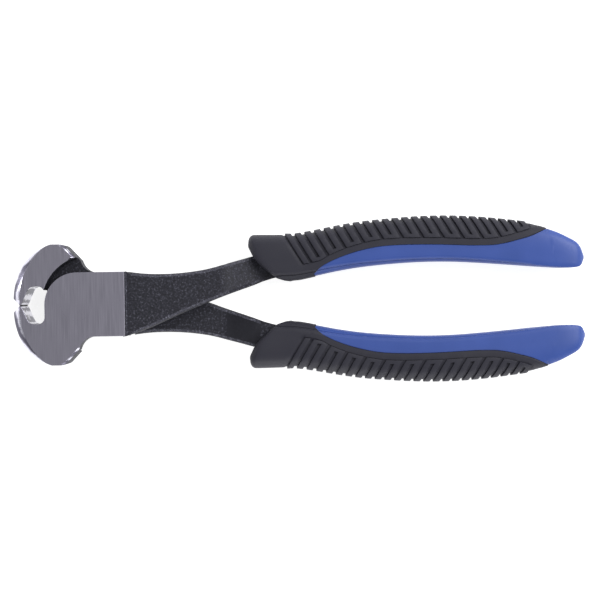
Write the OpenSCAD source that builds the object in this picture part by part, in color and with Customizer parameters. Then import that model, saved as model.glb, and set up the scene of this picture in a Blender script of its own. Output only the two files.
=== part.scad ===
// Tile nippers: two identical forged levers crossing at a flush rivet, each with a two-shot grip.
// The tool lies on its back. X runs from the jaws to the grips, Z is the pivot axis, z = 0 is the back face.

/* [Head] */
// Thickness of the head, which is also the length of the cutting edge
head_t = 20; // [14:0.5:28]
// Radius of the hub around the pivot
hub_r = 11.1; // [9.5:0.1:14]
// Distance from the pivot axis to the end of the ground head
head_back = 16.9; // [14:0.1:22]
// Radius of the jaws' outer curve
jaw_r = 21; // [18:0.5:26]
// Distance from the pivot axis to the cutting edges
edge_reach = 19.6; // [18:0.2:24]
// Width of the flat land on each cutting edge
edge_land = 0.5; // [0.2:0.1:1]
// Gap between the cutting edges when the tool is closed
edge_gap = 0.1; // [0.05:0.05:0.4]
// Half the height of the throat behind the cutting edges
throat_h = 6.5; // [5:0.5:9]
// Width of the ground bevel on the jaws' corners
jaw_bevel = 3.3; // [1:0.1:5]
// Space between a hub and the other lever's jaw
hub_space = 1; // [0.5:0.1:2]

/* [Levers] */
// Depth of the step from the ground head down to the arm
arm_step = 1.2; // [0.6:0.1:3]
// Thickness of the tang inside a grip
tang_t = 6; // [4:0.5:8]
// Width of the tang inside a grip
tang_w = 8.4; // [6:0.2:10]
// Distance from the grip's front end to the tang's end
tang_len = 98; // [70:1:108]
// Distance from the pivot axis to where the arm bends to the middle plane
bend_x = 50; // [47:1:54]
// Length of the bend
bend_len = 13; // [10:1:16]
// Gap between the two levers' lapped faces
lap_gap = 0.2; // [0.1:0.05:0.4]

/* [Rivet] */
// Radius of the rivet's shank
rivet_r = 3.5; // [2.5:0.25:5]
// Radius of the rivet's countersunk heads
rivet_head_r = 5.5; // [4.5:0.25:7]
// Height of each countersunk head
rivet_head_h = 2; // [1:0.25:3]
// Running clearance around the rivet
rivet_clear = 0.05; // [0.02:0.01:0.1]

/* [Grips] */
// Distance from the pivot axis to a grip's front end
grip_x = 59.2; // [58:0.2:66]
// Length of a grip
grip_len = 116.4; // [100:1:140]
// Width of a grip at the middle of its length
grip_w = 15.4; // [14:0.1:20]
// Thickness of a grip
grip_t = 15; // [12:0.5:19]
// Thickness of the soft cover over the core
cover_t = 1.6; // [1:0.1:2]
// Clearance between the tang and the core
tang_clear = 0.05; // [0.02:0.01:0.2]
// Gap left between the core and the cover
bond_gap = 0.02; // [0.01:0.01:0.1]

/* [Ribs] */
// Distance from the grip's front end to the first rib
rib_start = 12.8; // [10:0.2:20]
// Number of ribs on a grip, one single and the rest in pairs
rib_count = 25; // [15:2:25]
// Distance from one rib to the next
rib_pitch = 3.38; // [3:0.02:3.6]
// Width of a rib along the tool
rib_w = 2.1; // [1.4:0.1:2.4]
// Height of a rib above the cover
rib_h = 0.8; // [0.3:0.1:1.2]
// Slant of the ribs from the tool's length
rib_slant = 57; // [45:1:80]
// Width of the plain band between the ribs and the core
rib_band = 2.4; // [1.5:0.1:4]
// Least distance from the ribs' inner ends to the grip's inner side
rib_margin = 5; // [4:0.1:8]
// Width of the bar that joins a pair of ribs
rib_bridge = 1.3; // [0.8:0.1:2]

/* [Hidden] */
$fn = 96;

mid_z = head_t / 2;
lap_z = mid_z + lap_gap / 2;
arm_top_z = head_t - arm_step;
tang_end_x = grip_x + tang_len;
over = 1; // how far a cutting solid reaches past what it cuts

steel_colour = [0.48, 0.47, 0.51];
coat_colour = [0.2, 0.2, 0.24];
core_colour = [0.25, 0.34, 0.62];
cover_colour = [0.24, 0.24, 0.28];

// ---------------------------------------------------------------- curves

// Points of an arc about c, from angle a0 to a1
function arc(c, r, a0, a1, n = 12) =
    [for (i = [0:n]) let (a = a0 + (a1 - a0) * i / n) c + r * [cos(a), sin(a)]];

// Value of column k of a table of rows at s, by a smooth curve through the rows
function row_before(rows, s) = max([0, for (i = [0:len(rows) - 2]) if (rows[i][0] <= s) i]);
function slope(rows, i, k) =
    let (a = rows[max(i - 1, 0)], b = rows[min(i + 1, len(rows) - 1)]) (b[k] - a[k]) / (b[0] - a[0]);
function smooth(rows, s, k) =
    let (
        i = row_before(rows, s),
        a = rows[i],
        b = rows[i + 1],
        h = b[0] - a[0],
        t = (s - a[0]) / h
    )
    a[k] * (2 * pow(t, 3) - 3 * t * t + 1) + b[k] * (3 * t * t - 2 * pow(t, 3))
    + h * slope(rows, i, k) * (pow(t, 3) - 2 * t * t + t) + h * slope(rows, i + 1, k) * (pow(t, 3) - t * t);

function clamped(s, low, high) = min(max(s, low), high);

// A soft step from 0 to 1 as t goes from 0 to 1
function ease(t) = let (u = clamped(t, 0, 1)) u * u * (3 - 2 * u);

// ---------------------------------------------------------------- grip shape

// Share of the grip's length, sideways place of its middle, share of grip_w, share of grip_t
grip_rows = [
    [0.000, 14.80, 1.065, 0.96], [0.034, 14.80, 1.065, 1.00], [0.094, 14.85, 1.045, 1.00],
    [0.137, 14.95, 1.015, 1.00], [0.197, 16.15, 0.995, 0.99], [0.266, 17.70, 0.987, 0.97],
    [0.334, 18.90, 0.987, 0.96], [0.429, 19.90, 0.987, 0.95], [0.523, 20.45, 0.995, 0.95],
    [0.609, 20.40, 1.000, 0.95], [0.695, 19.80, 1.000, 0.95], [0.780, 18.85, 0.980, 0.96],
    [0.846, 17.95, 0.950, 0.97], [0.914, 16.45, 0.825, 0.97], [0.952, 15.35, 0.695, 0.93],
    [0.978, 14.50, 0.571, 0.84], [0.991, 13.90, 0.400, 0.69], [1.000, 13.55, 0.084, 0.47],
];
// Share of the grip's length, share of its width where the cover's edge runs
seam_rows = [
    [0.150, -0.30], [0.190, 0.00], [0.215, 0.17], [0.262, 0.285], [0.330, 0.375], [0.400, 0.42],
    [0.530, 0.39], [0.640, 0.375], [0.720, 0.41], [0.760, 0.475], [0.800, 0.585], [0.835, 0.72],
    [0.880, 1.05],
];

seam_s0 = seam_rows[0][0];
seam_s1 = seam_rows[len(seam_rows) - 1][0];

function grip_s(x) = clamped((x - grip_x) / grip_len, 0, 1);
function grip_c(x) = smooth(grip_rows, grip_s(x), 1);
function grip_half_w(x) = grip_w / 2 * smooth(grip_rows, grip_s(x), 2);
function grip_half_t(x) = grip_t / 2 * smooth(grip_rows, grip_s(x), 3);
function grip_in(x) = grip_c(x) - grip_half_w(x);
function grip_out(x) = grip_c(x) + grip_half_w(x);
function seam_share(x) = smooth(seam_rows, clamped(grip_s(x), seam_s0, seam_s1), 1);
function seam_y(x) = grip_in(x) + 2 * grip_half_w(x) * seam_share(x);

// The slanted front end: distance behind the grip's first point, share of its half width from its middle
grip_front = [
    [1.2, 1.22], [0.5, 0.88], [0.0, 0.75], [0.1, 0.63], [0.9, 0.37], [1.7, 0.12], [3.6, -0.20],
    [6.9, -0.52], [8.0, -0.80], [8.9, -0.93], [11.0, -1.20],
];

// Section of a grip across its length: crowned top, rounded outer side, drafted inner side with a crease
function grip_section(half_w, half_t, inset) =
    let (
        w = half_w - inset,
        t = half_t - inset,
        r_out = min(5.2, 0.8 * t, 0.9 * w),
        r_in = min(1.1, 0.3 * t, 0.3 * w),
        crease = w - min(1.1, 0.2 * w)
    )
    concat(
        [[-w, 0]],
        arc([-crease + r_in, t * 0.93 - r_in], r_in, 180, 100, 2),
        [[0, t]],
        arc([w - r_out, t * 0.97 - r_out], r_out, 80, 0, 5)
    );
function mirrored_section(points) =
    concat(points, [for (i = [len(points) - 1:-1:1]) [points[i][0], -points[i][1]]]);

grip_steps = 28;
function grip_station(i, inset) =
    let (first = grip_x - over) first + (grip_x + grip_len - inset - first) * pow(i / grip_steps, 0.9);

// The section's points at one place along the grip
function grip_ring(x, inset) =
    [for (p = mirrored_section(grip_section(grip_half_w(x), grip_half_t(x), inset)))
        [x, grip_c(x) + p[0], mid_z + p[1]]];

// The solid between two rings
module between(a, b) {
    n = len(a);
    hull()
        polyhedron(
            points = concat(a, b),
            faces = concat(
                [[for (i = [0:n - 1]) i], [for (i = [n - 1:-1:0]) n + i]],
                [for (i = [0:n - 1]) [i, n + i, n + (i + 1) % n, (i + 1) % n]]
            )
        );
}

// The whole grip without its slanted front, taken in by inset on every side
module grip_body(inset) {
    rings = [for (i = [0:grip_steps]) grip_ring(grip_station(i, inset), inset)];
    for (i = [0:grip_steps - 1])
        between(rings[i], rings[i + 1]);
}

// A cutting solid of this plan, standing through the whole thickness
far_y = 60; // past the widest that a grip reaches
module upright(plan) {
    translate([0, 0, -over])
        linear_extrude(height = head_t + 2 * over)
            polygon(plan);
}

// Space behind the slanted front end, moved back by inset
module behind_front(inset) {
    front = [for (p = grip_front) [grip_x + inset + p[0], grip_c(grip_x) + p[1] * grip_half_w(grip_x)]];
    back_x = grip_x + grip_len + over;
    upright(concat(front, [[back_x, -over], [back_x, far_y], [grip_x, far_y]]));
}

// Everything on the cover's side of the seam
module cover_side(shift) {
    steps = 40;
    front_x = grip_x - 3 * over;
    xs = [for (i = [0:steps]) grip_x + grip_len * (seam_s0 + (seam_s1 - seam_s0) * i / steps)];
    seam = [for (x = xs) [x, seam_y(x) + shift]];
    upright(concat([[front_x, -over], [xs[0], -over]], seam, [[xs[steps] + over, far_y], [front_x, far_y]]));
}

// ---------------------------------------------------------------- ribs

// A rib's place at the outer edge, how far it leans over as it runs in to y, and the y that it runs in to
rib_proud = 2; // how far a rib's plan reaches past the grip's outer side
function rib_x(i) = grip_x + rib_start + i * rib_pitch;
function rib_lean(x, y) = (grip_out(x) + rib_proud - y) / tan(rib_slant);
function rib_end(x, tries = 3) =
    tries == 0 ? grip_c(x) :
    let (end_x = x + rib_lean(x, rib_end(x, tries - 1)))
    max(seam_y(end_x) + rib_band, grip_in(end_x) + rib_margin);

module rib_bar(x, w, y) {
    top = grip_out(x) + rib_proud;
    lean = rib_lean(x, y);
    polygon([[x, top], [x + w, top], [x + w + lean, y], [x + lean, y]]);
}

// A single rib, then pairs joined at their inner ends
module rib_plan() {
    rib_bar(rib_x(0), rib_w, rib_end(rib_x(0)));
    for (i = [1:2:rib_count - 2]) {
        x = rib_x(i);
        y = rib_end(x);
        rib_bar(x, rib_w, y);
        rib_bar(rib_x(i + 1), rib_w, y);
        intersection() {
            rib_bar(x, rib_pitch + rib_w, y);
            translate([grip_x, y])
                square([2 * grip_len, rib_bridge]);
        }
    }
}

module grip_ribs() {
    intersection() {
        grip_body(-rib_h);
        translate([0, 0, -over])
            linear_extrude(height = head_t + 2 * over)
                rib_plan();
    }
}

// ---------------------------------------------------------------- lever

// The tang starts just inside the grip, aside of its middle and wider, and tapers to its end
tang_start = 1.5;
tang_aside = 4.1;
tang_flare = 1.7;
tang_taper = 1.2;

// Distance along the tool, sideways place of the middle, width
arm_rows = concat(
    [
        [head_back - 4, -0.3, 2 * hub_r + 1], [head_back, 0, 2 * hub_r], [24.9, 0.9, 18.6], [35, 3.1, 14.3],
        [45, 5.75, 11.5], [52, 8, 10.7],
    ],
    [for (i = [0:12])
        let (s = pow(i / 12, 1.6), x = grip_x + tang_start + s * (tang_len - tang_start))
        [
            x,
            grip_c(x) - tang_aside * pow(1 - s, 10),
            tang_w + tang_flare * pow(1 - s, 4) - tang_taper * s * s
        ]],
);
arm_steps = 44;
function arm_station(i) = head_back - 1 + (tang_end_x - head_back + 1) * i / arm_steps;
function arm_c(x) = smooth(arm_rows, x, 1);
function arm_half_w(x) = smooth(arm_rows, x, 2) / 2;

module arm_plan(clear) {
    xs = [for (i = [0:arm_steps]) arm_station(i)];
    end_r = arm_half_w(tang_end_x) + clear;
    polygon(concat(
        [for (x = xs) [x, arm_c(x) - arm_half_w(x) - clear]],
        arc([tang_end_x, arm_c(tang_end_x)], end_r, -80, 80, 8),
        [for (i = [arm_steps:-1:0]) [xs[i], arm_c(xs[i]) + arm_half_w(xs[i]) + clear]]
    ));
}

// Side of the arm: on its own side of the lap as far as the bend, then on the middle plane
function arm_low(x) = lap_z + (mid_z - tang_t / 2 - lap_z) * ease((x - bend_x) / bend_len);
function arm_high(x) = arm_top_z + (mid_z + tang_t / 2 - arm_top_z) * ease((x - bend_x) / bend_len);

module arm_side(clear) {
    xs = concat([head_back - 1], [for (i = [0:10]) bend_x + bend_len * i / 10], [tang_end_x + 10]);
    polygon(concat(
        [for (x = xs) [x, arm_low(x) - clear]],
        [for (i = [len(xs) - 1:-1:0]) [xs[i], arm_high(xs[i]) + clear]]
    ));
}

module arm(clear = 0) {
    intersection() {
        linear_extrude(height = head_t)
            arm_plan(clear);
        translate([0, far_y, 0])
            rotate([90, 0, 0])
                linear_extrude(height = 2 * far_y)
                    arm_side(clear);
    }
}

// Outline of the hub and the lower jaw, from the cutting edge round the jaw, the shoulder and the hub
jaw_c = [-2, -1];
front_r = jaw_r + 5; // the flatter curve across the jaw's tip
front_cut = 1; // how much shorter it makes the jaw
front_c = [jaw_c[0] - jaw_r + front_cut + front_r, jaw_c[1]];
front_gap = front_c[0] - jaw_c[0];
front_x = (jaw_r * jaw_r - front_r * front_r + front_gap * front_gap) / (2 * front_gap);
front_a = 180 + acos((front_gap - front_x) / front_r);
curve_a = 180 + acos(-front_x / jaw_r);
jaw_half = jaw_r - 0.15; // half the width of the head across the jaws
jaw_flat_a = 180 + asin((jaw_half + jaw_c[1]) / jaw_r);
shoulder_a = 47;
shoulder_x = -4.4; // where the shoulder's line meets the jaw's flat side
corner_r = 3;
fillet_r = 5.6;
fillet_c = [6.1, -hub_r - fillet_r];
corner_c = [shoulder_x - corner_r * tan(shoulder_a / 2), -jaw_half + corner_r];
shoulder_start = corner_c + corner_r * [cos(shoulder_a - 90), sin(shoulder_a - 90)];
// The shoulder runs straight to where it meets the fillet
shoulder_u = [cos(shoulder_a), sin(shoulder_a)];
shoulder_d = shoulder_start - fillet_c;
fillet_near = -shoulder_d * shoulder_u;
fillet_chord = sqrt(max(0, fillet_near * fillet_near - shoulder_d * shoulder_d + fillet_r * fillet_r));
shoulder_end = shoulder_start + (fillet_near - fillet_chord) * shoulder_u - fillet_c;
fillet_a = atan2(shoulder_end[1], shoulder_end[0]);
tip_a = 183;
wedge_a = 23.6; // lean of the jaw's inner face from the tool's width
throat_floor = edge_reach - edge_land - throat_h * tan(wedge_a) - hub_r;
throat_r = min(2.3, 0.45 * throat_floor);
wedge_r = min(2.6, 0.6 * throat_floor);
edge_in = [-edge_reach + edge_land, -edge_gap / 2];
wedge_c = [edge_in[0] + tan(wedge_a) * (throat_h - wedge_r - edge_gap / 2) + wedge_r / cos(wedge_a),
           -throat_h + wedge_r];

module head_plan() {
    polygon(concat(
        [[-edge_reach, -edge_gap / 2]],
        arc(front_c, front_r, tip_a, front_a, 16),
        arc(jaw_c, jaw_r, curve_a + 1, jaw_flat_a, 20),
        arc(corner_c, corner_r, 270, 270 + shoulder_a, 10),
        arc(fillet_c, fillet_r, fillet_a, 90, 12),
        [[head_back, -hub_r], [head_back, hub_r]],
        arc([0, 0], hub_r, 90, 180, 30),
        arc([-hub_r - throat_r, -throat_h + throat_r], throat_r, 0, -90, 8),
        arc(wedge_c, wedge_r, 270, 180 + wedge_a, 8),
        [edge_in]
    ));
}

// What is milled off the back of a head, so that it laps the other one: all but the lower jaw
recess_c = [5, 0];
recess_r = hub_r + hub_space + recess_c[0];
module lap_plan() {
    translate(recess_c)
        circle(r = recess_r);
    translate([-2 * jaw_r, 0])
        square([3 * jaw_r, 2 * jaw_r]);
    translate([0, -recess_r + over])
        square([2 * head_back, 2 * recess_r]);
}

// Cuts the ground bevel along one face of the jaw: widest at the edge, running out at the jaw's corner
bevel_c = jaw_c + jaw_bevel * [1.07, -0.6];
bevel_end = 8; // distance from the pivot axis, along the tool, past which nothing is cut
module bevel_cutter() {
    deep = 2 * jaw_bevel;
    difference() {
        translate([-2 * jaw_r, -2 * jaw_r, head_t - deep])
            cube([2 * jaw_r - bevel_end, 2 * jaw_r, deep + over]);
        translate([bevel_c[0], bevel_c[1], head_t - deep - over])
            cylinder(r1 = jaw_r + deep + over, r2 = jaw_r - over, h = deep + 2 * over);
    }
}

module rivet_hole() {
    translate([0, 0, -over])
        cylinder(r = rivet_r + rivet_clear, h = head_t + 2 * over);
    translate([0, 0, head_t - rivet_head_h])
        cylinder(r1 = rivet_r + rivet_clear, r2 = rivet_head_r + rivet_clear, h = rivet_head_h);
    translate([0, 0, head_t])
        cylinder(r = rivet_head_r + rivet_clear, h = over);
}

// Hub and lower jaw, with the other lever's space milled off the back
module head() {
    difference() {
        linear_extrude(height = head_t)
            head_plan();
        translate([0, 0, -over])
            linear_extrude(height = lap_z + over)
                lap_plan();
    }
}

// The lever with the lower jaw, whose hub and arm lie on the front side of the lap
module lever() {
    difference() {
        union() {
            color(steel_colour)
                head();
            color(coat_colour)
                arm();
        }
        bevel_cutter();
        translate([0, 0, head_t])
            mirror([0, 0, 1])
                bevel_cutter();
        rivet_hole();
    }
}

// Turns what is drawn for the front lever into the same piece of the other half of the tool
module turned_over() {
    translate([0, 0, mid_z])
        rotate([180, 0, 0])
            translate([0, 0, -mid_z])
                children();
}

// ---------------------------------------------------------------- pieces

module front_lever() {
    lever();
}

module rear_lever() {
    turned_over()
        lever();
}

// Solid rivet, set into both levers' countersinks and ground flush
module pivot_rivet() {
    color(steel_colour)
        rotate_extrude()
            polygon([
                [0, 0], [rivet_head_r, 0], [rivet_r, rivet_head_h],
                [rivet_r, head_t - rivet_head_h], [rivet_head_r, head_t], [0, head_t]
            ]);
}

// Hard inner shot: shows along the inner side and as the tail, and runs under the cover
module grip_core() {
    color(core_colour)
        difference() {
            union() {
                difference() {
                    grip_body(0);
                    cover_side(0);
                }
                intersection() {
                    grip_body(cover_t + bond_gap);
                    behind_front(cover_t + bond_gap);
                }
            }
            arm(tang_clear);
        }
}

// Soft outer shot: the front of the grip and its ribbed back
module grip_cover() {
    color(cover_colour)
        difference() {
            intersection() {
                union() {
                    intersection() {
                        grip_body(0);
                        behind_front(0);
                    }
                    grip_ribs();
                }
                cover_side(bond_gap);
            }
            intersection() {
                grip_body(cover_t);
                behind_front(cover_t);
            }
            arm(tang_clear);
        }
}

module upper_grip_core() {
    grip_core();
}

module upper_grip_cover() {
    grip_cover();
}

module lower_grip_core() {
    turned_over()
        grip_core();
}

module lower_grip_cover() {
    turned_over()
        grip_cover();
}

front_lever();
rear_lever();
pivot_rivet();
upper_grip_core();
upper_grip_cover();
lower_grip_core();
lower_grip_cover();
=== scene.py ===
import math

import bmesh
import bpy
from mathutils import Matrix, Vector


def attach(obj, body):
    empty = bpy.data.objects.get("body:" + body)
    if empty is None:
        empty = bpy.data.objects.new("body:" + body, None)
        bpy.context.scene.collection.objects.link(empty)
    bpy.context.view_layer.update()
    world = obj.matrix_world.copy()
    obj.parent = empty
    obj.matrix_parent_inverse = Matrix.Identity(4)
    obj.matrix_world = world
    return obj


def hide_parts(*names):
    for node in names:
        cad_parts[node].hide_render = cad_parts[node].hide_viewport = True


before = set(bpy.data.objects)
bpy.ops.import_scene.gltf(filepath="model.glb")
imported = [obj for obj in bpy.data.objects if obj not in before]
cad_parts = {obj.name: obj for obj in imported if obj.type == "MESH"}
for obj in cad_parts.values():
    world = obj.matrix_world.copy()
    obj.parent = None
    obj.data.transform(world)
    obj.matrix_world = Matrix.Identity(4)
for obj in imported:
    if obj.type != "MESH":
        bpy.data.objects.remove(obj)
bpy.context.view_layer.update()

# Tile nippers. Sizes below are in millimetres unless a name says otherwise; the scene is in metres.
MM = 0.001
MID_Z = 10.0             # middle plane of the tool, where each grip has its parting line
HEAD_T = 20.0            # thickness of the head
HEAD_BACK = 16.9         # where the ground head steps down to the arm
JAW_CENTRE = (-2, 0, 0)  # middle of the jaws' outer curve, with the jaws closed

# Grip: the same sizes as the solids that the grips stand for
GRIP_X = 59.2
GRIP_LEN = 116.4
GRIP_W = 15.4
GRIP_T = 15.0
COVER_T = 1.6            # thickness of the soft cover over the core
BOND_GAP = 0.03          # space left between core and cover

# Share of the grip's length, sideways place of its middle, share of its width, share of its thickness
GRIP_ROWS = (
    (0.000, 14.80, 1.065, 0.96), (0.034, 14.80, 1.065, 1.00), (0.094, 14.85, 1.045, 1.00),
    (0.137, 14.95, 1.015, 1.00), (0.197, 16.15, 0.995, 0.99), (0.266, 17.70, 0.987, 0.97),
    (0.334, 18.90, 0.987, 0.96), (0.429, 19.90, 0.987, 0.95), (0.523, 20.45, 0.995, 0.95),
    (0.609, 20.40, 1.000, 0.95), (0.695, 19.80, 1.000, 0.95), (0.780, 18.85, 0.980, 0.96),
    (0.846, 17.95, 0.950, 0.97), (0.914, 16.45, 0.825, 0.97), (0.952, 15.35, 0.695, 0.93),
    (0.978, 14.50, 0.571, 0.84), (0.991, 13.90, 0.400, 0.69), (1.000, 13.55, 0.084, 0.47),
)
# The slanted front end: share of the half width from the middle, distance behind the foremost point
FRONT_ROWS = (
    (-1.2, 17.5), (-0.97, 13.8), (-0.9, 10.4), (-0.8, 8.3), (-0.5, 6.0), (-0.2, 3.5),
    (0.12, 1.7), (0.37, 0.9), (0.63, 0.12), (0.75, 0.0), (0.9, 0.05), (1.05, 0.15),
)
# Share of the grip's length, share of its width where the cover's edge runs
SEAM_ROWS = (
    (0.150, -0.30), (0.190, 0.00), (0.215, 0.17), (0.262, 0.285), (0.330, 0.375), (0.400, 0.42),
    (0.530, 0.39), (0.640, 0.375), (0.720, 0.41), (0.760, 0.475), (0.800, 0.580), (0.838, 0.70),
    (0.870, 0.865), (0.893, 1.03),
)
# Half a section from the inner parting line over the front face to the outer parting line: how far along
# it, share of the ledge's width, share of the grip's width, share of the half thickness
SECTION_ROWS = (
    (0.000, 0.00, 0.00, 0.00), (0.040, 0.04, 0.00, 0.36), (0.080, 0.20, 0.00, 0.56),
    (0.130, 0.55, 0.00, 0.675), (0.180, 0.88, 0.00, 0.73), (0.195, 0.97, 0.00, 0.725),
    (0.205, 1.02, 0.00, 0.78), (0.220, 1.07, 0.00, 0.885), (0.245, 1.10, 0.015, 0.935),
    (0.290, 1.00, 0.06, 0.965), (0.450, 0.50, 0.33, 0.99), (0.550, 0.00, 0.50, 1.00),
    (0.660, 0.00, 0.66, 0.985), (0.760, 0.00, 0.80, 0.92), (0.850, 0.00, 0.905, 0.76),
    (0.930, 0.00, 0.98, 0.45), (1.000, 0.00, 1.00, 0.00),
)
LEDGE_COLUMNS = (0.0, 0.04, 0.08, 0.13, 0.18, 0.195, 0.205, 0.22, 0.245, 0.29)
# Distance behind the grip's front end, width of the ledge below the crease
LEDGE_ROWS = ((0.0, 2.3), (12.0, 2.2), (24.0, 1.8), (45.0, 1.2), (80.0, 0.85), (96.0, 0.5), (107.0, 0.02),
              (116.4, 0.02))
LEDGE_SHARE = 0.4        # most that the ledge may take of the grip's half width

# The outer side squares off towards the tail: from where, over what length, how far round the half section,
# and how much of the rounding is left
SQUARE_X = 150
SQUARE_OVER = 15
SQUARE_END = 0.9
SQUARE_LEFT = 0.45

# Ribs
RIB_START = 12.8
RIB_COUNT = 25           # a single one, then pairs joined at their inner ends
RIB_PITCH = 3.38
RIB_W = 2.1
RIB_H = 0.8
RIB_SLANT = math.radians(57)
RIB_BAND = 2.4           # plain band between the cover's edge and the ribs' inner ends
RIB_MARGIN = 5.0         # least distance from the grip's inner side to the ribs
RIB_BRIDGE = 1.3         # width of the bar that joins a pair
RIB_ROUND = 0.2          # rounding of the ribs' upper edges
PROUD = 0.25             # how far the smooth parts of the cover stand above the floor between the ribs

# The grip's rings follow the ribs' slant and stand up again towards the tail: from where, over what length
UPRIGHT_FROM = 94
UPRIGHT_OVER = 16

RIM_R = 1.9              # rounding of the cover's front end
ARM_MIDDLE_Y = 11.2      # middle of the arm where it enters the grip

# Where the cover opens to show the core, and where it ends, on the grip's outer side
OPEN_AT = GRIP_X + 14.0
CLOSE_AT = GRIP_X + 103.8
OPEN_STEP = 0.03         # the opening's square end lies between two rings this far apart
SEAM_END = 0.985         # the cover's edge stops just short of the outer parting line


# ---------------------------------------------------------------- curves

def clamp(value, low, high):
    return min(max(value, low), high)


def mix(a, b, t):
    return a + (b - a) * t


def ease(t):
    t = clamp(t, 0.0, 1.0)
    return t * t * (3 - 2 * t)


def smooth(rows, s, k):
    """Column k of rows at s, on a smooth curve through the rows."""
    i = 0
    while i < len(rows) - 2 and rows[i + 1][0] <= s:
        i += 1
    a, b = rows[i], rows[i + 1]
    before, after = rows[max(i - 1, 0)], rows[min(i + 2, len(rows) - 1)]
    step = b[0] - a[0]
    t = (s - a[0]) / step
    slope_a = (b[k] - before[k]) / (b[0] - before[0])
    slope_b = (after[k] - a[k]) / (after[0] - a[0])
    t2, t3 = t * t, t * t * t
    return (a[k] * (2 * t3 - 3 * t2 + 1) + b[k] * (3 * t2 - 2 * t3)
            + step * slope_a * (t3 - 2 * t2 + t) + step * slope_b * (t3 - t2))


# ---------------------------------------------------------------- grip surface

def grip_sizes(x):
    """Sideways place of the grip's middle, half width and half thickness."""
    s = clamp((x - GRIP_X) / GRIP_LEN, 0.0, 1.0)
    return (smooth(GRIP_ROWS, s, 1), GRIP_W / 2 * smooth(GRIP_ROWS, s, 2),
            GRIP_T / 2 * smooth(GRIP_ROWS, s, 3))


def grip_out(x):
    """Where the grip's outer side lies, at x."""
    middle, half_w, _ = grip_sizes(x)
    return middle + half_w


def seam_y(x):
    """Where the cover's edge runs, at x."""
    middle, half_w, _ = grip_sizes(x)
    share = smooth(SEAM_ROWS, clamp((x - GRIP_X) / GRIP_LEN, SEAM_ROWS[0][0], SEAM_ROWS[-1][0]), 1)
    return middle - half_w + 2 * half_w * share


def rib_end_y(x):
    """Where the ribs' inner ends lie, at x."""
    middle, half_w, _ = grip_sizes(x)
    return max(seam_y(x) + RIB_BAND, middle - half_w + RIB_MARGIN)


def bridge_y(x):
    """Where the bars that join the pairs end outwards, at x."""
    return rib_end_y(x) + RIB_BRIDGE


def front_lean(y):
    """How far the slanted front end lies behind its foremost point, at y."""
    middle, half_w, _ = grip_sizes(GRIP_X)
    return smooth(FRONT_ROWS, clamp((y - middle) / half_w, FRONT_ROWS[0][0], FRONT_ROWS[-1][0]), 1)


def lean(station, y):
    """How far a ring's point at y lies behind the ring's station, which is on the grip's outer side."""
    slanted = (grip_out(station) - y) / math.tan(RIB_SLANT)
    from_front = ease((station - GRIP_X) / RIB_START)
    to_tail = ease((station - GRIP_X - UPRIGHT_FROM) / UPRIGHT_OVER)
    return mix(mix(front_lean(y), slanted, from_front), 0.0, to_tail)


SECTION_STEPS = 2000
SECTION_TABLE = [tuple(smooth(SECTION_ROWS, i / SECTION_STEPS, k) for k in (1, 2, 3))
                 for i in range(SECTION_STEPS + 1)]


def rounding_left(x, p):
    """How much of the section's rounding is left: all of it, but for the outer side near the tail."""
    if p <= 0.5:
        return 1.0
    to_parting = ease((p - SQUARE_END) / (1 - SQUARE_END))
    return mix(1.0, mix(SQUARE_LEFT, 1.0, to_parting), ease((x - SQUARE_X) / SQUARE_OVER))


LEAN_ROUNDS = 4          # a point's x and y depend on each other, and settle in this many rounds
SEARCH_ROUNDS = 12       # halvings of the search for a place round the section


def grip_point(station, p, proud=0.0, back=False):
    """A point of the grip's surface at p round a ring's half, raised by proud; back is the other half."""
    ledge, share, high = SECTION_TABLE[round(clamp(p, 0.0, 1.0) * SECTION_STEPS)]
    x = station
    for _ in range(LEAN_ROUNDS):
        middle, half_w, half_t = grip_sizes(x)
        ledge_w = min(smooth(LEDGE_ROWS, clamp(x - GRIP_X, 0.0, GRIP_LEN), 1), LEDGE_SHARE * half_w)
        y = middle - half_w + ledge * ledge_w + 2 * half_w * share
        x = min(station + lean(station, y), GRIP_X + GRIP_LEN)
    high = 1 - (1 - high) * rounding_left(x, p)
    y = middle + (y - middle) * (1 + proud / half_w)
    z = high * half_t * (1 + proud / half_t)
    return Vector((x, y, -z if back else z))


def share_at(station, height):
    """Where round a ring's half the surface reaches the y that height gives."""
    low, high = 0.0, 1.0
    for _ in range(SEARCH_ROUNDS):
        p = (low + high) / 2
        here = grip_point(station, p)
        if here.y < height(here.x):
            low = p
        else:
            high = p
    return (low + high) / 2


# ---------------------------------------------------------------- making pieces

def loft(rings):
    """A tube drawn out from one circle through rings of points, closed at both ends."""
    bm = bmesh.new()
    ring_of = bm.verts.layers.int.new("ring")
    place_of = bm.verts.layers.int.new("place")
    verts = bmesh.ops.create_circle(bm, segments=len(rings[0]), radius=1)["verts"]
    for place, v in enumerate(verts):
        v[place_of] = place
        v.co = rings[0][place]
    edges = bm.edges[:]
    for number, ring in enumerate(rings[1:], 1):
        made = bmesh.ops.extrude_edge_only(bm, edges=edges)["geom"]
        verts = {g for g in made if isinstance(g, bmesh.types.BMVert)}
        edges = [g for g in made if isinstance(g, bmesh.types.BMEdge) and verts.issuperset(g.verts)]
        for v in verts:
            v[ring_of] = number
            v.co = ring[v[place_of]]
    bmesh.ops.holes_fill(bm, edges=[e for e in bm.edges if e.is_boundary], sides=0)
    bmesh.ops.recalc_face_normals(bm, faces=bm.faces)
    return bm


LEVEL = 0.9999           # how nearly a level face's normal points along Z
BENT = 0.01              # faces that meet at a smaller angle than this, in radians, count as one
GRIP_MERGE = 0.003       # points of a grip closer than this are joined


def borders_level_face(edge):
    return edge.calc_face_angle(0) > BENT and any(abs(f.normal.z) > LEVEL for f in edge.link_faces)


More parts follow.
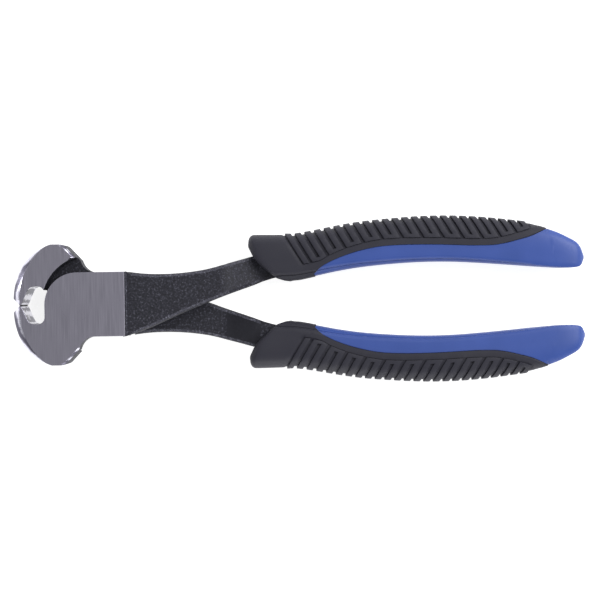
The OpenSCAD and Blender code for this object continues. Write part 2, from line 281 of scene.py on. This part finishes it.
def finish_piece(bm, name, materials, body, node, sharp_angle=38, level_faces=False):
    """Shades a finished bmesh and puts it in its node's place; level_faces keeps the level ones flat."""
    bm.normal_update()
    for f in bm.faces:
        f.smooth = True
    for e in bm.edges:
        soft = len(e.link_faces) == 2 and e.calc_face_angle(0) < math.radians(sharp_angle)
        e.smooth = soft and not (level_faces and borders_level_face(e))
    mesh = bpy.data.meshes.new(name)
    bm.to_mesh(mesh)
    bm.free()
    piece = bpy.data.objects.new(name, mesh)
    bpy.context.collection.objects.link(piece)
    for material in materials:
        mesh.materials.append(material)
    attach(piece, body)
    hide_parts(node)


def finish_grip_piece(bm, part, slot, lower):
    """Puts a grip's piece, drawn in millimetres about the middle plane, in the upper or lower grip."""
    bmesh.ops.remove_doubles(bm, verts=bm.verts, dist=GRIP_MERGE)
    turn = Matrix.Rotation(math.pi, 4, "X") if lower else Matrix.Identity(4)
    bmesh.ops.transform(bm, verts=bm.verts,
                        matrix=Matrix.Translation((0, 0, MID_Z * MM)) @ turn @ Matrix.Scale(MM, 4))
    bmesh.ops.recalc_face_normals(bm, faces=bm.faces)
    side = "lower" if lower else "upper"
    finish_piece(bm, side + "_" + part, [MATERIALS[slot]], "rear_half" if lower else "front_half",
                 side + "_grip_" + part)


# ---------------------------------------------------------------- grip cover

FRONT_CLOSED = (0.9, 0.6, 0.3, 0.0)    # how far each ring of the front end is closed in on the arm
RIM_RINGS = 6            # rings round the rim behind them
PAD_RINGS = 8            # rings along the plain pad ahead of the ribs
TAIL_RINGS = 7           # rings along the plain end behind the ribs
PAD_SLOPE = (1.0, 0.45)  # ahead of the first rib, where the slope down to the ribs' floor starts and ends
TAIL_SLOPE = (0.5, 1.1)  # behind the last rib, where the slope up again starts and ends


def cover_rings():
    """Each ring's station, what the strip behind it is, how far it is raised, how far it is closed in."""
    rings = [(GRIP_X, "pad", -RIM_R, closed) for closed in FRONT_CLOSED]
    for k in range(1, RIM_RINGS + 1):
        angle = math.pi / 2 * k / RIM_RINGS
        rings.append((GRIP_X + RIM_R * (1 - math.cos(angle)), "pad",
                      mix(-RIM_R, PROUD, math.sin(angle)), 0.0))
    first = GRIP_X + RIB_START
    pad_start, pad_end = GRIP_X + RIM_R, first - PAD_SLOPE[0]
    rings += [(mix(pad_start, pad_end, k / PAD_RINGS), "pad", PROUD, 0.0)
              for k in range(1, PAD_RINGS + 1)]
    rings.append((first - PAD_SLOPE[1], "gap", 0.0, 0.0))
    for i in range(RIB_COUNT):
        start = first + i * RIB_PITCH
        rings.append((start, "rib", 0.0, 0.0))
        rings.append((start + RIB_W, "pair" if i % 2 == 1 else "gap", 0.0, 0.0))
    floor_end, end_start = (rings[-1][0] + behind for behind in TAIL_SLOPE)
    rings += [(floor_end, "gap", 0.0, 0.0), (end_start, "pad", PROUD, 0.0)]
    rings += [(mix(end_start, CLOSE_AT, k / TAIL_RINGS), "pad", PROUD, 0.0)
              for k in range(1, TAIL_RINGS + 1)]
    for station in (OPEN_AT - OPEN_STEP, OPEN_AT):
        before = [r for r in rings if r[0] < station][-1]
        rings.insert(rings.index(before) + 1, (station,) + before[1:])
    return rings


# The cover's edge where it is open: share of the way to the ribs' ends, how far it is raised
LIP = ((0.0, -0.6), (0.0, -0.1), (0.04, 0.7 * PROUD))
LIP_COLUMNS = len(LIP)
BAND_START = 0.08        # where the plain band's columns start on that way
BAND_REACH = 0.86        # share of that way from the band's first column to its last
BAND_REST = (0.5, 0.93)  # where it is closed: the band's last columns, on the way from the ledge
LEDGE_ROOM = 0.05        # least room between the ledge's columns and the ribs' inner ends
BAND_COLUMNS = len(LEDGE_COLUMNS) + len(BAND_REST)
# Round a ring's half: least distance outwards from what lies before it, furthest place
END_LIMITS = (0.004, 0.992)      # the ribs' inner ends
BRIDGE_LIMITS = (0.003, 0.996)   # the bars' outer edges
RIB_COLUMNS = 15
RIB_EDGE = LIP_COLUMNS + BAND_COLUMNS       # the column where the ribs' inner ends are
HALF_COLUMNS = RIB_EDGE + 2 + RIB_COLUMNS
INNER_COLUMNS = 18


def cover_columns(station, strip, raised):
    """Each column of a ring's half from the cover's edge outwards: how far round, how far raised."""
    opened = station >= OPEN_AT
    seam = clamp(share_at(station, seam_y), 0.0, SEAM_END) if opened else 0.0
    end = clamp(share_at(station, rib_end_y), seam + END_LIMITS[0], END_LIMITS[1])
    bridge = clamp(share_at(station, bridge_y), end + BRIDGE_LIMITS[0], BRIDGE_LIMITS[1])
    if opened:
        lip = [(mix(seam, end, share), proud) for share, proud in LIP]
        band = [mix(seam, end, BAND_START + BAND_REACH * k / (BAND_COLUMNS - 1))
                for k in range(BAND_COLUMNS)]
    else:
        lip = [(0.0, min(raised, PROUD))] * LIP_COLUMNS
        fitted = [min(p, end - LEDGE_ROOM) for p in LEDGE_COLUMNS]
        band = fitted + [mix(fitted[-1], end, share) for share in BAND_REST]
    plain = min(raised, PROUD) if strip == "pad" else PROUD
    columns = lip + [(p, plain) for p in band]
    columns += [(end, raised), (bridge, raised)]
    columns += [(mix(bridge, 1.0, k / RIB_COLUMNS), raised) for k in range(1, RIB_COLUMNS + 1)]
    return columns


def cover_ring(station, strip, raised, closed):
    """The points round the cover at one ring: front half, back half, then the inside."""
    columns = cover_columns(station, strip, raised)
    ring = [grip_point(station, p, proud) for p, proud in columns]
    ring += [grip_point(station, p, proud, back=True) for p, proud in reversed(columns[:-1])]
    seam = columns[0][0]
    for k in range(INNER_COLUMNS):
        t = 2 * k / (INNER_COLUMNS - 1)
        if station < OPEN_AT:
            ring.append(ring[0].copy())
        elif t < 1:
            ring.append(grip_point(station, mix(seam, 1.0, t), -COVER_T, back=True))
        else:
            ring.append(grip_point(station, mix(1.0, seam, t - 1), -COVER_T))
    if closed:
        for point in ring:
            point.y = mix(point.y, ARM_MIDDLE_Y, closed)
            point.z *= 1 - closed
            point.x = station + front_lean(point.y)
    return ring


def strip_and_column(face, ring_of, place_of, rings):
    """What a face of the loft belongs to, and its column counted from the cover's edge on either half."""
    strip = rings[min(v[ring_of] for v in face.verts)][1]
    places = [v[place_of] for v in face.verts]
    far = 2 * HALF_COLUMNS - 2
    column = min(min(place, far - place) for place in places)
    return strip, column if max(places) <= far else -1


def raise_ribs(bm, rings):
    """Lifts the ribs and the bars that join them in pairs, and rounds their upper edges."""
    ring_of = bm.verts.layers.int["ring"]
    place_of = bm.verts.layers.int["place"]
    crowns = []
    for f in bm.faces:
        strip, column = strip_and_column(f, ring_of, place_of, rings)
        if column >= RIB_EDGE and strip == "rib" or column == RIB_EDGE and strip == "pair":
            crowns.append(f)
    region = bmesh.ops.extrude_face_region(bm, geom=crowns)["geom"]
    bmesh.ops.delete(bm, geom=crowns, context="FACES_ONLY")
    tops = {g for g in region if isinstance(g, bmesh.types.BMFace)}
    bm.normal_update()
    lift = {v: v.normal.copy() for f in tops for v in f.verts}
    for v, normal in lift.items():
        flat = Vector((0, normal.y, normal.z)).normalized()
        v.co += flat * RIB_H
    rims = [e for f in tops for e in f.edges if any(other not in tops for other in e.link_faces)]
    bmesh.ops.bevel(bm, geom=list(set(rims)), offset=RIB_ROUND, offset_type="OFFSET", affect="EDGES",
                    segments=2, profile=0.5, material=-1)


def grip_cover(lower):
    """The soft ribbed cover of the upper or lower grip."""
    rings = cover_rings()
    bm = loft([cover_ring(*ring) for ring in rings])
    raise_ribs(bm, rings)
    finish_grip_piece(bm, "cover", "grip_black", lower)


# ---------------------------------------------------------------- grip core

CORE_COLUMNS = 9
CORE_FRONT = (6.0, 10.0)  # how far behind the cover's front end the core's first rings lie
SIDE_RINGS = 60          # rings along the bare side
ROUND_RINGS = 26         # rings round the tail
EDGE_STEPS = (0.006, 0.002)  # how far short of the cover's edge the bare side's last columns lie
EDGE_DIP = 0.12          # how far the core dips where it meets the cover's edge
LEAST_SEAM = 0.3         # least place of the cover's edge round the section, just past the ledge
NO_SEAM = 0.9            # where the columns part on rings that no edge of the cover crosses


def core_stations():
    """Under the cover, along the bare side, and closer together round the tail."""
    stations = [GRIP_X + behind for behind in CORE_FRONT] + [OPEN_AT - OPEN_STEP, OPEN_AT]
    stations += [mix(OPEN_AT, CLOSE_AT, k / SIDE_RINGS) for k in range(1, SIDE_RINGS + 1)]
    along_tail = [math.sin(math.pi / 2 * k / ROUND_RINGS) ** 0.8 for k in range(ROUND_RINGS + 1)]
    return stations + [mix(CLOSE_AT + 0.05, GRIP_X + GRIP_LEN, share) for share in along_tail]


def core_ring(station):
    """The points round the core at one ring, sunk under the cover and level with it where it is bare."""
    sunk = -(COVER_T + BOND_GAP)
    opened, whole = station >= OPEN_AT, station > CLOSE_AT
    seam = clamp(share_at(station, seam_y), LEAST_SEAM, SEAM_END) if opened and not whole else NO_SEAM
    bare = 0.0 if opened else sunk
    under = 0.0 if whole else sunk
    columns = [(p, bare) for p in LEDGE_COLUMNS]
    ledge = LEDGE_COLUMNS[-1]
    last, brink = seam - EDGE_STEPS[0], seam - EDGE_STEPS[1]
    columns += [(mix(ledge, last, k / CORE_COLUMNS), bare) for k in range(1, CORE_COLUMNS + 1)]
    columns += [(brink, bare if whole else bare - EDGE_DIP), (seam, min(under, bare))]
    columns += [(mix(seam, 1.0, k / CORE_COLUMNS), under) for k in range(1, CORE_COLUMNS + 1)]
    ring = [grip_point(station, p, proud) for p, proud in columns]
    return ring + [grip_point(station, p, proud, back=True) for p, proud in reversed(columns[1:-1])]


def grip_core(lower):
    """The hard core of the upper or lower grip."""
    bm = loft([core_ring(station) for station in core_stations()])
    finish_grip_piece(bm, "core", "grip_blue", lower)


# ---------------------------------------------------------------- materials

def new_material(name):
    material = bpy.data.materials.new(name)
    material.use_nodes = True
    nodes, links = material.node_tree.nodes, material.node_tree.links
    return material, nodes, links, nodes["Principled BSDF"]


def noise(nodes, links, scale, stretch=(1, 1, 1), detail=2.0, roughness=0.5):
    """A noise on the piece's own place, stretched along an axis where its factor is small."""
    place = nodes.new("ShaderNodeTexCoord")
    mapping = nodes.new("ShaderNodeMapping")
    texture = nodes.new("ShaderNodeTexNoise")
    mapping.inputs["Scale"].default_value = stretch
    texture.inputs["Scale"].default_value = scale
    texture.inputs["Detail"].default_value = detail
    texture.inputs["Roughness"].default_value = roughness
    links.new(place.outputs["Object"], mapping.inputs["Vector"])
    links.new(mapping.outputs["Vector"], texture.inputs["Vector"])
    return texture.outputs[0]


def rings_about(nodes, links, centre, density):
    """Uneven grinding rings about a line along Z through centre."""
    place = nodes.new("ShaderNodeTexCoord")
    mapping = nodes.new("ShaderNodeMapping")
    texture = nodes.new("ShaderNodeTexWave")
    mapping.inputs["Location"].default_value = [-c * MM for c in centre]
    mapping.inputs["Scale"].default_value = (1, 1, 0.3)
    texture.wave_type = "RINGS"
    texture.rings_direction = "Z"
    texture.inputs["Scale"].default_value = density
    texture.inputs["Distortion"].default_value = 3.0
    texture.inputs["Detail"].default_value = 3.0
    texture.inputs["Detail Scale"].default_value = 1.5
    links.new(place.outputs["Object"], mapping.inputs["Vector"])
    links.new(mapping.outputs["Vector"], texture.inputs["Vector"])
    return texture.outputs["Fac"]


def ramp(nodes, links, value, *stops):
    """Colours along a pattern's values."""
    node = nodes.new("ShaderNodeValToRGB")
    links.new(value, node.inputs["Fac"])
    elements = node.color_ramp.elements
    while len(elements) < len(stops):
        elements.new(0.5)
    for element, (at, colour) in zip(elements, stops):
        element.position = at
        element.color = (*colour, 1)
    return node.outputs["Color"]


def grey(v):
    return (v, v, v)


def bump(nodes, links, shader, height, strength, depth):
    """Relief of the given depth."""
    node = nodes.new("ShaderNodeBump")
    node.inputs["Strength"].default_value = strength
    node.inputs["Distance"].default_value = depth * MM
    links.new(height, node.inputs["Height"])
    links.new(node.outputs["Normal"], shader.inputs["Normal"])


def ground_steel():
    """Flat steel faces ground across the tool."""
    material, nodes, links, shader = new_material("ground_steel")
    strokes = noise(nodes, links, scale=60, stretch=(60, 1.2, 60), detail=4.0, roughness=0.6)
    shader.inputs["Metallic"].default_value = 1.0
    links.new(ramp(nodes, links, strokes, (0.3, (0.3, 0.288, 0.345)), (0.7, (0.37, 0.357, 0.42))),
              shader.inputs["Base Color"])
    links.new(ramp(nodes, links, strokes, (0.3, grey(0.38)), (0.7, grey(0.5))), shader.inputs["Roughness"])
    bump(nodes, links, shader, strokes, strength=0.2, depth=0.02)
    return material


def polished_steel(name, density, dark, middle, light):
    """Cut faces ground along the jaws' curve and polished, with streaks that follow the curve."""
    material, nodes, links, shader = new_material(name)
    strokes = rings_about(nodes, links, JAW_CENTRE, density)
    shader.inputs["Metallic"].default_value = 1.0
    links.new(ramp(nodes, links, strokes, (0.25, dark), (0.6, middle), (0.85, light)),
              shader.inputs["Base Color"])
    links.new(ramp(nodes, links, strokes, (0.2, grey(0.34)), (0.8, grey(0.18))), shader.inputs["Roughness"])
    bump(nodes, links, shader, strokes, strength=0.15, depth=0.02)
    return material


def black_coat(name, dark, light, speck, relief=0.5):
    """A textured black coat with fine bright specks."""
    material, nodes, links, shader = new_material(name)
    grain = noise(nodes, links, scale=1500, detail=3.0, roughness=0.7)
    links.new(ramp(nodes, links, grain, (0.36, dark), (0.56, light), (0.7, speck)),
              shader.inputs["Base Color"])
    links.new(ramp(nodes, links, grain, (0.3, grey(0.55)), (0.7, grey(0.7))), shader.inputs["Roughness"])
    shader.inputs["Specular IOR Level"].default_value = 0.35
    bump(nodes, links, shader, grain, strength=relief, depth=0.12)
    return material


def moulded(name, low, high, rough, specular, relief):
    """A moulded plastic or rubber with a fine grain and a slight unevenness of tone."""
    material, nodes, links, shader = new_material(name)
    grain = noise(nodes, links, scale=2600)
    cloud = noise(nodes, links, scale=70, detail=3.0)
    links.new(ramp(nodes, links, cloud, (0.3, low), (0.7, high)), shader.inputs["Base Color"])
    links.new(ramp(nodes, links, grain, (0.3, grey(rough - 0.05)), (0.7, grey(rough + 0.07))),
              shader.inputs["Roughness"])
    shader.inputs["Specular IOR Level"].default_value = specular
    bump(nodes, links, shader, grain, strength=relief, depth=0.05)
    return material


MATERIALS = {
    "ground": ground_steel(),
    "polished": polished_steel("polished_steel", density=110, dark=(0.12, 0.115, 0.15),
                               middle=(0.3, 0.29, 0.35), light=(0.68, 0.67, 0.76)),
    "throat": polished_steel("throat_steel", density=340, dark=(0.12, 0.115, 0.16),
                             middle=(0.46, 0.45, 0.53), light=(0.62, 0.61, 0.7)),
    "coat": black_coat("black_coat", dark=(0.006, 0.006, 0.01), light=(0.02, 0.02, 0.03),
                       speck=(0.085, 0.085, 0.11)),
    # A lighter, more specked copy of the coat: painted highlight along the arms' rounded corners and on the
    # fillet at the foot of the step.
    "highlight_coat": black_coat("highlight_coat", dark=(0.02, 0.02, 0.03), light=(0.06, 0.06, 0.08),
                            speck=(0.2, 0.2, 0.25)),
    # A smoother copy of the coat with less relief, painted darker: painted shade on the ramp where the arm
    # bends.
    "smooth_shaded_coat": black_coat("smooth_shaded_coat", dark=(0.009, 0.009, 0.014), light=(0.013, 0.013, 0.02),
                              speck=(0.02, 0.02, 0.028), relief=0.1),
    "grip_blue": moulded("grip_blue", low=(0.023, 0.06, 0.265), high=(0.031, 0.072, 0.305),
                         rough=0.48, specular=0.5, relief=0.12),
    "grip_black": moulded("grip_black", low=(0.017, 0.0165, 0.027), high=(0.022, 0.0215, 0.032),
                          rough=0.6, specular=0.38, relief=0.35),
}


# ---------------------------------------------------------------- levers and rivet

LEVER_FINISHES = ("ground", "polished", "throat", "coat", "highlight_coat", "smooth_shaded_coat")
GROUND, POLISHED, THROAT, COAT, HIGHLIT, SMOOTH_SHADED = range(len(LEVER_FINISHES))

SLIVER = 0.12            # shorter edges than this are closed up before the corners are broken
ONE_FACE = math.radians(0.6)   # faces that meet at less than this are made one
MERGE = 0.01             # points of a lever closer than this are joined between bevels
CORNER = 0.16            # how far the head's corners are broken
ARM_CORNER = 1.1         # how far the arms' long corners are rounded
STEP_CORNER = 0.4        # chamfer and fillet of the step from the head to the arm
SHOULDER_CORNER = 0.7    # ground chamfer along the jaw's shoulder
EDGE_SHADE_W = 0.28       # width of the strip along the cutting edge that takes the black coat as painted shade where the two lands meet
RAMP_X = (51.5, GRIP_X + 5)    # where the arm bends to the middle plane
LAND_X = -19.1           # back of the cutting edge's flat land
LAND_Y = 0.07            # the lands lie nearer to the middle than this
LAND_SHUT = 0.15         # share of the gap between the two lands that is left
CUTTING_X = LAND_X + 0.5  # the cutting edge and its bevels lie ahead of this
CUTTING_Y = 0.6          # and nearer to the middle than this
THROAT_X = -11.5         # how far back the throat's cut walls reach
THROAT_Y = 8.0           # how far from the middle they reach
SHOULDER_X = (-5.5, 1.2)  # from where to where the jaw's shoulder runs
SHOULDER_Y = 15          # least distance of the shoulder from the middle
JAW_X = -8               # how far back the jaw's outer face reaches
JAW_R = 15.5             # the outer face lies further out than this from its own centre
JAW_SIDE = 1             # how far that centre lies to the jaw's side of JAW_CENTRE
ARM_X = (HEAD_BACK + 1.5, GRIP_X + 4)    # the stretch of the arm whose long corners are rounded

# How much a face looks along Z: 1 for a level face, 0 for an upright wall
WALL_TILT = 0.2          # at most this for a wall
FACE_TILT = 0.7          # at least this for the head's ground faces and their bevels
CREST_TILT = 0.8         # at least this for the part of a rounded corner that takes the lighter coat as a painted highlight
RAMP_TILT = (0.5, 0.998)

RIVET_R = 3.5
RIVET_HEAD_R = 5.54      # fills the countersink, so that only a hairline shows
RIVET_HEAD_H = 2.0
RIVET_RIM_H = 0.05       # height of the heads' upright rims
RIVET_SIDES = 64
RIVET_MERGE = 0.002


def break_edges(bm, wanted, offset, segments, least_angle=28):
    """Bevels the corners sharper than least_angle for which wanted(middle, both ends) holds."""
    bmesh.ops.remove_doubles(bm, verts=bm.verts, dist=MERGE * MM)
    edges = []
    for e in bm.edges:
        if len(e.link_faces) == 2 and e.calc_face_angle(0) > math.radians(least_angle):
            ends = [v.co / MM for v in e.verts]
            if wanted((ends[0] + ends[1]) / 2, ends):
                edges.append(e)
    made = bmesh.ops.bevel(bm, geom=edges, offset=offset * MM, offset_type="OFFSET", affect="EDGES",
                           segments=segments, profile=0.5, material=-1)
    return made["faces"]


X_AXIS, Z_AXIS = 0, 2


def in_plane(ends, axis, level, reach=0.06):
    """Whether both ends of an edge lie within reach of the level on that axis."""
    return all(abs(end[axis] - level) < reach for end in ends)


def on_face(ends):
    return in_plane(ends, Z_AXIS, 0) or in_plane(ends, Z_AXIS, HEAD_T)


def on_shoulder(middle, ends):
    return SHOULDER_X[0] < middle.x < SHOULDER_X[1] and abs(middle.y) > SHOULDER_Y and on_face(ends)


def on_arm(middle, ends):
    return ARM_X[0] < middle.x < ARM_X[1]


def on_step(middle, ends):
    return in_plane(ends, X_AXIS, HEAD_BACK) and abs(ends[0].z - ends[1].z) < 0.1


def on_land(middle, ends):
    at_back = in_plane(ends, X_AXIS, LAND_X, reach=0.12)
    return abs(middle.y) < 0.1 and middle.x < LAND_X + 0.12 and (at_back or on_face(ends))


def on_head(middle, ends):
    """The head's outer corners, but neither the cutting edge nor the rims round the flush rivet."""
    at_edge = middle.x < CUTTING_X and abs(middle.y) < CUTTING_Y
    at_rivet = math.hypot(middle.x, middle.y) < RIVET_HEAD_R + 0.5
    return middle.x < HEAD_BACK + 0.2 and not at_edge and not at_rivet


def depth_in_head(z):
    """How far z lies from the nearer of the head's two ground faces."""
    return min(z, HEAD_T - z)


def lever_finish(face, lap_side):
    """The finish of one face; lap_side is 1 or -1, the way the lever's lapped side looks along Z."""
    c = face.calc_center_median() / MM
    tilt = abs(face.normal.z)
    is_wall = tilt <= WALL_TILT
    if depth_in_head(c.z) < 0.1 and tilt > FACE_TILT and c.x < HEAD_BACK + STEP_CORNER:
        return GROUND
    if is_wall and LAND_X + 0.2 < c.x < THROAT_X and abs(c.y) < THROAT_Y:
        return THROAT
    if c.x < JAW_X and math.hypot(c.x - JAW_CENTRE[0], abs(c.y) - JAW_SIDE) > JAW_R:
        return GROUND if is_wall else POLISHED
    # The sloped faces of the lapped side, where the arm bends to the middle plane, take the smoother coat
    # painted darker: painted shade for the slope.
    lap_tilt = face.normal.z * lap_side
    on_ramp = RAMP_X[0] < c.x < RAMP_X[1] and RAMP_TILT[0] < lap_tilt < RAMP_TILT[1]
    return SMOOTH_SHADED if on_ramp else COAT


def seat_lever(bm):
    """Holds the bevels within the head's thickness and shuts the gap between the lands to a thin line."""
    bmesh.ops.remove_doubles(bm, verts=bm.verts, dist=MERGE * MM)
    for v in bm.verts:
        v.co.z = clamp(v.co.z, 0.0, HEAD_T * MM)
        if v.co.x < (LAND_X + 0.1) * MM and abs(v.co.y) < LAND_Y * MM:
            v.co.y *= LAND_SHUT


def lever(node, body, lap_side):
    """The lever's solid, ground and polished at the head and coated elsewhere, with its corners broken."""
    bm = bmesh.new()
    bm.from_mesh(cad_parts[node].data)
    bmesh.ops.remove_doubles(bm, verts=bm.verts, dist=SLIVER * MM)
    bmesh.ops.dissolve_limit(bm, angle_limit=ONE_FACE, verts=bm.verts, edges=bm.edges)
    for f in bm.faces:
        f.material_index = lever_finish(f, lap_side)
    # The upper part of each rounded arm corner takes the lighter coat: painted highlight along the edge.
    for f in break_edges(bm, on_arm, ARM_CORNER, 2):
        f.material_index = HIGHLIT if abs(f.normal.z) > CREST_TILT else COAT
    for f in break_edges(bm, on_shoulder, SHOULDER_CORNER, 1):
        f.material_index = POLISHED
    # The bevel along the cutting edge's land takes the black coat: painted shade for the dark line where
    # the two lands meet.
    for f in break_edges(bm, on_land, EDGE_SHADE_W, 1, least_angle=15):
        f.material_index = COAT
    # The step's chamfer at the head keeps the black coat; its fillet at the foot on the arm takes the
    # lighter coat as a painted highlight.
    for f in break_edges(bm, on_step, STEP_CORNER, 1):
        f.material_index = COAT if depth_in_head(f.calc_center_median().z / MM) < 0.5 else HIGHLIT
    break_edges(bm, on_head, CORNER, 2, least_angle=30)
    seat_lever(bm)
    materials = [MATERIALS[finish] for finish in LEVER_FINISHES]
    finish_piece(bm, node + "_forging", materials, body, node, sharp_angle=20,
                 level_faces=True)


def rivet():
    """Two flush countersunk heads on a shank, spun about the axis from one side's outline."""
    bm = bmesh.new()
    half = [(0, 0), (RIVET_HEAD_R, 0), (RIVET_HEAD_R, RIVET_RIM_H), (RIVET_R, RIVET_HEAD_H)]
    outline = half + [(r, HEAD_T - z) for r, z in reversed(half)]
    verts = [bm.verts.new((r * MM, 0, z * MM)) for r, z in outline]
    edges = [bm.edges.new(pair) for pair in zip(verts, verts[1:])]
    bmesh.ops.spin(bm, geom=verts + edges, cent=(0, 0, 0), axis=(0, 0, 1), angle=2 * math.pi,
                   steps=RIVET_SIDES, use_merge=True)
    bmesh.ops.remove_doubles(bm, verts=bm.verts, dist=RIVET_MERGE * MM)
    bmesh.ops.recalc_face_normals(bm, faces=bm.faces)
    finish_piece(bm, "flush_rivet", [MATERIALS["ground"]], "rear_half", "pivot_rivet",
                 level_faces=True)


# ---------------------------------------------------------------- stage

# In metres, as Blender takes them
MIDDLE = (0.07, 0, 0.01)          # what the lights are aimed at
FLOOR_HALF = 1.6
FLOOR_PLACE = (0.08, 0, -0.0004)  # just under the tool, so that the two don't share a plane
CAMERA_PLACE = (0.0769, 0.00028, 0.751)
CAMERA_TURN = math.radians(-0.98)
LENS = 127.5                      # in millimetres, like the sensor's width
SENSOR = 36

# Name, place, width and height, watts
LIGHTS = (
    ("key", (0.58, 0.3, 0.55), (0.55, 0.55), 6.2),
    ("left_strip", (-0.5, 0.12, 0.12), (0.06, 0.3), 0.8),
    ("near_fill", (0.1, -0.6, 0.16), (0.6, 0.2), 2.0),
    ("far_fill", (0.1, 0.6, 0.16), (0.6, 0.2), 0.6),
)


def make_floor():
    """A plain white floor that shines a little, so that the shadows on it stay pale."""
    bm = bmesh.new()
    bmesh.ops.create_grid(bm, x_segments=2, y_segments=2, size=FLOOR_HALF)
    bmesh.ops.translate(bm, vec=FLOOR_PLACE, verts=bm.verts)
    mesh = bpy.data.meshes.new("floor")
    bm.to_mesh(mesh)
    bm.free()
    floor = bpy.data.objects.new("floor", mesh)
    bpy.context.collection.objects.link(floor)
    material, nodes, links, shader = new_material("white_sweep")
    cloud = noise(nodes, links, scale=3)
    links.new(ramp(nodes, links, cloud, (0.3, grey(0.5)), (0.7, grey(0.54))), shader.inputs["Base Color"])
    shader.inputs["Roughness"].default_value = 0.9
    shader.inputs["Specular IOR Level"].default_value = 0.1
    shader.inputs["Emission Color"].default_value = (1, 1, 1, 1)
    shader.inputs["Emission Strength"].default_value = 0.85
    mesh.materials.append(material)


def area_light(name, place, size, energy):
    """A rectangular light aimed at the middle of the tool."""
    data = bpy.data.lights.new(name, "AREA")
    data.shape = "RECTANGLE"
    data.size, data.size_y = size
    data.energy = energy
    light = bpy.data.objects.new(name, data)
    light.location = place
    light.rotation_euler = (Vector(MIDDLE) - Vector(place)).to_track_quat("-Z", "Y").to_euler()
    bpy.context.collection.objects.link(light)


def make_lights():
    world = bpy.data.worlds.new("studio")
    world.use_nodes = True
    world.node_tree.nodes["Background"].inputs["Color"].default_value = (0.97, 0.98, 1, 1)
    world.node_tree.nodes["Background"].inputs["Strength"].default_value = 0.4
    bpy.context.scene.world = world
    for row in LIGHTS:
        area_light(*row)


def make_camera():
    """Straight down over the middle of the tool."""
    data = bpy.data.cameras.new("camera")
    data.lens = LENS
    data.sensor_width = SENSOR
    data.clip_start, data.clip_end = 0.05, 10
    camera = bpy.data.objects.new("camera", data)
    camera.location = CAMERA_PLACE
    camera.rotation_euler = (0, 0, CAMERA_TURN)
    bpy.context.collection.objects.link(camera)
    bpy.context.scene.camera = camera


bpy.context.scene.view_settings.view_transform = "Standard"
make_floor()
make_lights()
make_camera()

lever("front_lever", "front_half", -1)
lever("rear_lever", "rear_half", 1)
rivet()
for lower in (False, True):
    grip_core(lower)
    grip_cover(lower)
